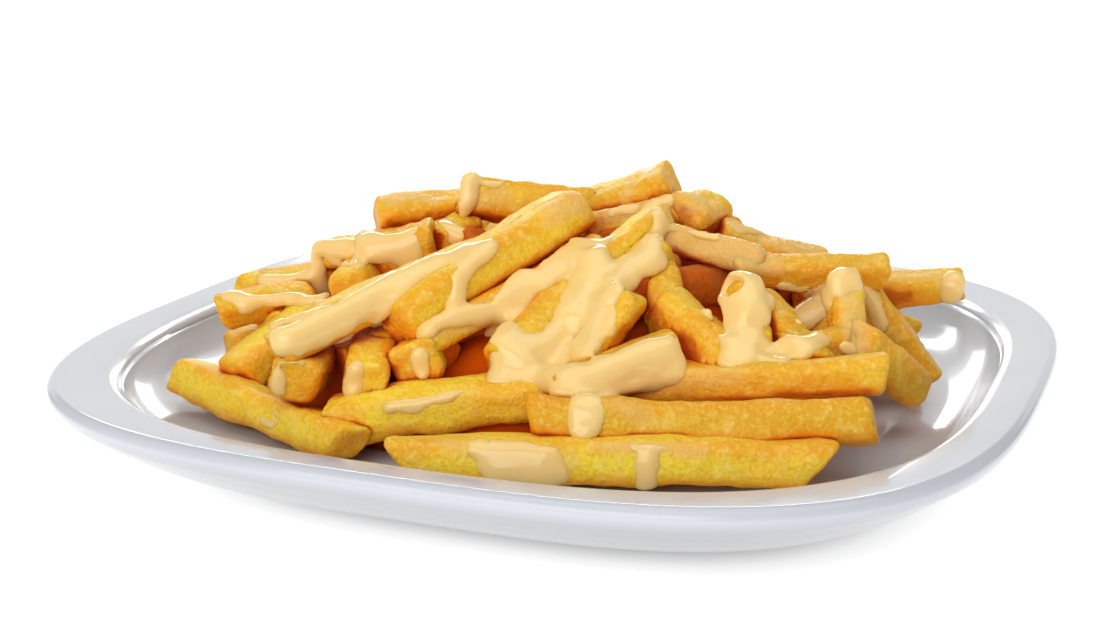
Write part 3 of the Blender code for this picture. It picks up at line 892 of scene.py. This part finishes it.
def back_samples(tree):
    """Strokes down the sides that the photograph doesn't show, spread evenly with seeded wander."""
    samples = []
    eyes = (camera_eye(), camera_eye() + Vector((0, 0, BACK_RAISE)))
    draws = np.random.default_rng(BACK_SEED)
    first_heading, last_heading = BACK_HEADINGS
    for run in range(BACK_RUNS):
        way = (run + draws.uniform(*BACK_STAGGER)) / BACK_RUNS
        heading = math.radians(first_heading + (last_heading - first_heading) * way)
        wander = draws.uniform(-BACK_WANDER, BACK_WANDER)
        radius = draws.uniform(*BACK_RADIUS)
        thickness = draws.uniform(*BACK_THICKNESS)
        first = draws.uniform(*BACK_FIRST)
        last = draws.uniform(*BACK_LAST)
        for step in range(BACK_RUN_POINTS):
            share = step / (BACK_RUN_POINTS - 1)
            reach = first + (last - first) * share
            angle = heading + wander * math.sin(BACK_WAVES * share)
            x = HEAP_MIDDLE[0] + HEAP_HALF[0] * reach * math.cos(angle)
            y = HEAP_MIDDLE[1] + HEAP_HALF[1] * reach * math.sin(angle)
            hit = tree.ray_cast(Vector((x, y, SKY)), Vector((0, 0, -1)))[0]
            if hit and all(hidden_from(tree, eye, hit, radius) for eye in eyes):
                samples.append((*hit, radius * (1 - BACK_TAPER * share), thickness))
    return samples


def grid_window(low, shape, corners, reach):
    """The part of the grid within reach of a box, which is given by its low and high corners."""
    first = np.maximum(np.floor((corners[0] - reach - low) / VOXEL).astype(int), 0)
    last = np.minimum(np.ceil((corners[1] + reach - low) / VOXEL).astype(int) + 1, shape)
    return tuple(slice(start, stop) for start, stop in zip(first, last))


def window_points(low, window):
    axes = [low[axis] + VOXEL * np.arange(part.start, part.stop) for axis, part in enumerate(window)]
    return np.stack(np.meshgrid(*axes, indexing="ij"), axis=-1)


def fry_distance(fry, points):
    """The distance from points to a fry's surface, negative inside."""
    offset = points - fry["start"]
    along = offset @ fry["along"]
    station = np.clip(along / fry["length"], 0, 1)
    bent = offset - (4 * station * (1 - station))[..., None] * fry["bend"]
    radius = FRY_ROUNDNESS * fry["width"]
    slimness = (1 - (1 - fry["taper"]) * station) / 2
    sides = (
        np.abs(along - fry["length"] / 2) - fry["length"] / 2 + radius,
        np.abs(bent @ fry["side"]) - fry["width"] * slimness + radius,
        np.abs(bent @ fry["up"]) - fry["depth"] * slimness + radius,
    )
    outside = np.sqrt(sum(np.maximum(side, 0) ** 2 for side in sides))
    inside = np.minimum(np.maximum(np.maximum(sides[0], sides[1]), sides[2]), 0)
    return outside + inside - radius


def smooth_least(first, second, blend):
    overlap = np.maximum(blend - np.abs(first - second), 0) / blend
    return np.minimum(first, second) - overlap**2 * blend / 4


def heap_distances(shapes, low, shape):
    """How far each grid point lies from the fries, with the crevices between them bridged."""
    far = 2 * GRID_MARGIN
    distances = np.full(shape, far, dtype=np.float32)
    for fry in shapes:
        end = fry["start"] + fry["along"] * fry["length"]
        ends = np.stack([np.minimum(fry["start"], end), np.maximum(fry["start"], end)])
        window = grid_window(low, shape, ends, GRID_MARGIN)
        own = fry_distance(fry, window_points(low, window))
        distances[window] = smooth_least(distances[window], own, BRIDGE)
    return distances


def sauce_thickness(samples, low, wander):
    """The thickness that the strokes give each grid point: edges wander, and lower edges are fuller."""
    thickness = np.zeros(wander.shape, dtype=np.float32)
    for x, y, z, radius, height in samples:
        centre = np.array((x, y, z))
        window = grid_window(low, wander.shape, np.stack([centre, centre]), radius * (1 + EDGE_WANDER))
        offset = window_points(low, window) - centre
        apart = np.linalg.norm(offset, axis=-1) / (radius * (1 + EDGE_WANDER * wander[window]))
        sag = 1 - SAG * np.clip(offset[..., 2] / radius, -1, 1)
        own = height * sag * np.maximum(1 - apart**2, 0) ** SAUCE_FLATNESS
        thickness[window] = np.maximum(thickness[window], own)
    return thickness


def wash_shares(samples, points):
    """How much of a thin wash of sauce lies on each point of the fries."""
    shares = np.zeros(len(points))
    uneven = 1 + WASH_WANDER * waves(points, WANDER_SIZE, WASH_SEED)
    for x, y, z, radius, strength in samples:
        apart = np.linalg.norm(points - (x, y, z), axis=1) / (radius * uneven)
        shares = np.maximum(shares, strength * np.sqrt(np.clip(1 - apart**2, 0, 1)))
    return shares


def blurred(values, reach):
    """The grid's values, each averaged with those at a reach of so many steps to both sides."""
    for axis in range(3):
        values = (np.roll(values, reach, axis) + values + np.roll(values, -reach, axis)) / 3
    return values


def grid_values(values, low, points):
    """The grid's values at the nearest grid points."""
    index = np.rint((points - low) / VOXEL).astype(int)
    index = np.clip(index, 0, np.array(values.shape) - 1)
    return values[index[:, 0], index[:, 1], index[:, 2]]


def sauce_field(shapes, samples, bare):
    """A grid that is negative inside the sauce, the sauce's thickness there, and the grid's low corner."""
    centres = np.array([sample[:3] for sample in samples])
    low = centres.min(axis=0) - GRID_MARGIN
    shape = np.ceil((centres.max(axis=0) + GRID_MARGIN - low) / VOXEL).astype(int) + 1
    distances = blurred(blurred(heap_distances(shapes, low, shape), 1), 1)
    whole = tuple(slice(0, size) for size in shape)
    wander = waves(window_points(low, whole), WANDER_SIZE, SAUCE_SEED, WANDER_COUNT)
    thickness = blurred(sauce_thickness(samples, low, wander), 1) * SAUCE_SHARE
    for x, y, z, radius, _ in bare:
        centre = np.array((x, y, z))
        window = grid_window(low, shape, np.stack([centre, centre]), radius)
        apart = np.linalg.norm(window_points(low, window) - centre, axis=-1) / radius
        thickness[window] *= np.clip(2 * apart - 1, 0, 1)
    field = np.maximum(distances - thickness, SAUCE_EDGE - thickness)
    field = np.maximum(field, -SAUCE_UNDER - distances)
    return field, thickness, low


def make_sauce(shapes, samples, bare, material):
    field, thickness, low = sauce_field(shapes, samples, bare)
    band = BAND * VOXEL
    grid = openvdb.FloatGrid(band)
    grid.copyFromArray(np.clip(field, -band, band).astype(np.float32))
    points, quads = grid.convertToQuads(0.0)
    points = np.asarray(points, dtype=float) * VOXEL + low
    sauce = new_piece("cheese_sauce", points, [tuple(quad)[::-1] for quad in quads.tolist()], material)
    depth = grid_values(thickness, low, points)
    add_attribute(sauce, "thin", np.clip(1 - depth / THIN_DEPTH, 0, 1))
    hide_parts("fries_and_sauce")
    return thickness, low


def new_material(name):
    material = bpy.data.materials.new(name)
    material.use_nodes = True
    return material, material.node_tree, material.node_tree.nodes["Principled BSDF"]


def plug(graph, value, socket):
    """Link another node's output to a socket, or write a plain value there."""
    if isinstance(value, bpy.types.NodeSocket):
        graph.links.new(value, socket)
    elif socket.type == "RGBA":
        socket.default_value = (*value, 1)
    else:
        socket.default_value = value


def set_inputs(graph, node, values):
    for name, value in values.items():
        plug(graph, value, node.inputs[name])


def place_socket(graph):
    return graph.nodes.new("ShaderNodeTexCoord").outputs["Object"]


def noise_node(graph, scale, detail):
    noise = graph.nodes.new("ShaderNodeTexNoise")
    set_inputs(graph, noise, {"Vector": place_socket(graph), "Scale": scale, "Detail": detail})
    return noise.outputs["Fac"]


def attribute_node(graph, name):
    node = graph.nodes.new("ShaderNodeAttribute")
    node.attribute_name = name
    return node.outputs["Fac"]


def ramp_node(graph, value, places, colours):
    """A colour ramp over a value, with a colour at each of its places."""
    ramp = graph.nodes.new("ShaderNodeValToRGB")
    elements = ramp.color_ramp.elements
    for end in (0, -1):
        elements[end].position = places[end]
        elements[end].color = (*colours[end], 1)
    for position, colour in zip(places[1:-1], colours[1:-1]):
        elements.new(position).color = (*colour, 1)
    plug(graph, value, ramp.inputs["Fac"])
    return ramp.outputs["Color"]


def grey_ramp_node(graph, value, places, shares):
    return ramp_node(graph, value, places, [(share, share, share) for share in shares])


def mix_node(graph, share, first, second):
    mix = graph.nodes.new("ShaderNodeMix")
    mix.data_type = "RGBA"
    for socket, value in ((mix.inputs[0], share), (mix.inputs[6], first), (mix.inputs[7], second)):
        plug(graph, value, socket)
    return mix.outputs[2]


def math_node(graph, operation, first, second):
    node = graph.nodes.new("ShaderNodeMath")
    node.operation = operation
    plug(graph, first, node.inputs[0])
    plug(graph, second, node.inputs[1])
    return node.outputs[0]


def bump_node(graph, height, distance, strength):
    bump = graph.nodes.new("ShaderNodeBump")
    set_inputs(graph, bump, {"Height": height, "Distance": distance, "Strength": strength})
    return bump.outputs["Normal"]


def fry_material():
    """Golden fried potato: paler blisters, orange edges and ends, painted shade that turns undersides and
    nooks orange and the deepest nooks dark red, a shine of oil near the sauce.
    """
    material, graph, shader = new_material("fried potato")
    sources = {name: noise_node(graph, *noise) for name, noise in FRY_NOISES.items()}
    for name in FRY_ATTRIBUTES:
        sources[name] = attribute_node(graph, name)
    sources["edge"] = math_node(graph, "MULTIPLY", sources["edge"], sources["patches"])
    colour = mix_node(graph, sources["tone"], FRY_PALE, FRY_GOLDEN)
    for source, values, shares, layer in FRY_LAYERS:
        share = grey_ramp_node(graph, sources[source], values, shares)
        colour = mix_node(graph, share, colour, layer)
    wet = math_node(graph, "MAXIMUM", sources["wet"], sources["wash"])
    rough = grey_ramp_node(graph, sources["flecks"], DRY_FLECKS, DRY_ROUGHNESS)
    rough = mix_node(graph, wet, rough, WET_ROUGHNESS)
    deep_shade = grey_ramp_node(graph, sources["nook_shade"], DEEP_NOOK, (0, 1))
    grains = math_node(graph, "MULTIPLY", sources["grains"], GRAIN_RELIEF)
    relief = math_node(graph, "ADD", sources["flecks"], grains)
    set_inputs(graph, shader, FRY_SHADER)
    set_inputs(graph, shader, {
        "Base Color": mix_node(graph, deep_shade, colour, DEEP_SHADE_COLOUR),
        "Roughness": mix_node(graph, deep_shade, rough, DEEP_ROUGHNESS),
        "Normal": bump_node(graph, relief, *FRY_BUMP),
    })
    return material


def core_material():
    """The dark orange of packed fries in shade."""
    material, graph, shader = new_material("fried potato in shade")
    colour = ramp_node(graph, noise_node(graph, *CORE_NOISE), CORE_SPAN, CORE_SHADE_COLOURS)
    set_inputs(graph, shader, {**CORE_SHADER, "Base Color": colour})
    return material


def sauce_material():
    """Smooth cheese sauce: peach cream, yellower where it thins out over the fries."""
    material, graph, shader = new_material("cheese sauce")
    cream = ramp_node(graph, noise_node(graph, *SAUCE_CLOUDS), CLOUD_SPAN, SAUCE_COLOURS)
    thin = grey_ramp_node(graph, attribute_node(graph, "thin"), THIN_SPAN, THIN_SHARES)
    colour = mix_node(graph, thin, cream, THIN_COLOUR)
    bump = bump_node(graph, noise_node(graph, *SAUCE_RIPPLES), *SAUCE_BUMP)
    set_inputs(graph, shader, {**SAUCE_SHADER, "Base Color": colour, "Normal": bump})
    return material


def porcelain_material():
    """White glazed porcelain, with the faint tone and waviness of a fired glaze, and shade painted darker on
    its outer face.
    """
    material, graph, shader = new_material("glazed porcelain")
    white = ramp_node(graph, noise_node(graph, *GLAZE_CLOUDS), CLOUD_SPAN, GLAZE_COLOURS)
    colour = mix_node(graph, attribute_node(graph, "outer_face_shade"), white, OUTER_FACE_SHADE_COLOUR)
    bump = bump_node(graph, noise_node(graph, *GLAZE_WAVES), *GLAZE_BUMP)
    set_inputs(graph, shader, {**GLAZE_SHADER, "Base Color": colour, "Normal": bump})
    return material


def floor_material():
    """A white sweep that glows away from the plate: near it the glow drops, a painted shadow that joins the
    plate's own soft shadow.
    """
    material, graph, shader = new_material("pale floor")
    parts = graph.nodes.new("ShaderNodeSeparateXYZ")
    plug(graph, place_socket(graph), parts.inputs[0])
    powers = []
    for axis, middle in enumerate(SHADOW_MIDDLE):
        apart = math_node(graph, "SUBTRACT", parts.outputs[axis], middle)
        apart = math_node(graph, "ABSOLUTE", apart, 0)
        powers.append(math_node(graph, "POWER", apart, RIM_SQUARENESS))
    apart = math_node(graph, "POWER", math_node(graph, "ADD", *powers), 1 / RIM_SQUARENESS)
    glow_and_painted_shadow = grey_ramp_node(graph, apart, GLOW_DISTANCES, GLOW_SHARES)
    set_inputs(graph, shader, {**FLOOR_SHADER, "Emission Strength": glow_and_painted_shadow})
    return material


def make_camera():
    right, up, back = camera_axes()
    eye = camera_eye() * MM
    place = Matrix((
        (right.x, up.x, back.x, eye.x),
        (right.y, up.y, back.y, eye.y),
        (right.z, up.z, back.z, eye.z),
        (0, 0, 0, 1),
    ))
    data = bpy.data.cameras.new("camera")
    data.sensor_width = SENSOR
    data.lens = LENS_PIXELS / PICTURE_WIDTH * SENSOR
    data.shift_x = (PICTURE_WIDTH / 2 - RIM_MIDDLE_PIXEL[0]) / PICTURE_WIDTH
    data.shift_y = (RIM_MIDDLE_PIXEL[1] - PICTURE_HEIGHT / 2) / PICTURE_WIDTH
    data.clip_start = CLIP_START
    camera = add_object("camera", data)
    camera.matrix_world = Matrix.Rotation(HEAP_TURN, 4, "Z") @ place
    bpy.context.scene.camera = camera


def add_soft_box(name, place, size, power):
    """A rectangular light that faces the heap."""
    data = bpy.data.lights.new(name, "AREA")
    data.shape = "RECTANGLE"
    data.size = size[0]
    data.size_y = size[1]
    data.energy = power
    light = add_object(name, data)
    location = Vector(place)
    facing = (Vector(LIT_POINT) - location).to_track_quat("-Z", "Y").to_matrix().to_4x4()
    light.matrix_world = Matrix.Rotation(HEAP_TURN, 4, "Z") @ Matrix.Translation(location) @ facing


def make_lights():
    for name, (place, size, power) in SOFT_BOXES.items():
        add_soft_box(name, place, size, power)
    world = bpy.data.worlds.new("studio")
    bpy.context.scene.world = world
    world.use_nodes = True
    background = world.node_tree.nodes["Background"]
    background.inputs["Color"].default_value = (1, 1, 1, 1)
    background.inputs["Strength"].default_value = WORLD_LIGHT


def make_floor(material):
    mesh = bpy.data.meshes.new("floor")
    signs = ((-1, -1), (1, -1), (1, 1), (-1, 1))
    mesh.from_pydata([(x * FLOOR_HALF, y * FLOOR_HALF, 0) for x, y in signs], [], [(0, 1, 2, 3)])
    mesh.materials.append(material)
    floor = add_object("floor", mesh)


def main():
    bpy.context.scene.view_settings.view_transform = "Standard"
    make_camera()
    make_lights()
    make_floor(floor_material())
    make_plate(porcelain_material())
    shapes = all_fries()
    fries, points, faces, painted_shade_points = make_fries(shapes, fry_material())
    make_core(core_material())
    tree = BVHTree.FromPolygons(points.tolist(), faces)
    samples = back_samples(tree)
    for area in (SAUCE_TOP, SAUCE_LEFT, SAUCE_MIDDLE, SAUCE_RIGHT, SAUCE_FRONT):
        samples += stroke_samples(tree, area)
    bare = stroke_samples(tree, BARE_SPOTS)
    thickness, low = make_sauce(shapes, samples, bare, sauce_material())
    shade_shares = nook_shade_shares(tree, fries, points)
    # Painted shade: how closed in each point is, and at least INNER_SHADE on the hidden fries in front
    add_attribute(fries, "nook_shade", np.where(painted_shade_points, np.maximum(shade_shares, INNER_SHADE), shade_shares))
    add_attribute(fries, "wash", wash_shares(stroke_samples(tree, WASHES), points))
    for reach in WET_REACHES:
        thickness = blurred(thickness, reach)
    add_attribute(fries, "wet", np.clip(WET_GAIN * grid_values(thickness, low, points), 0, 1))


main()
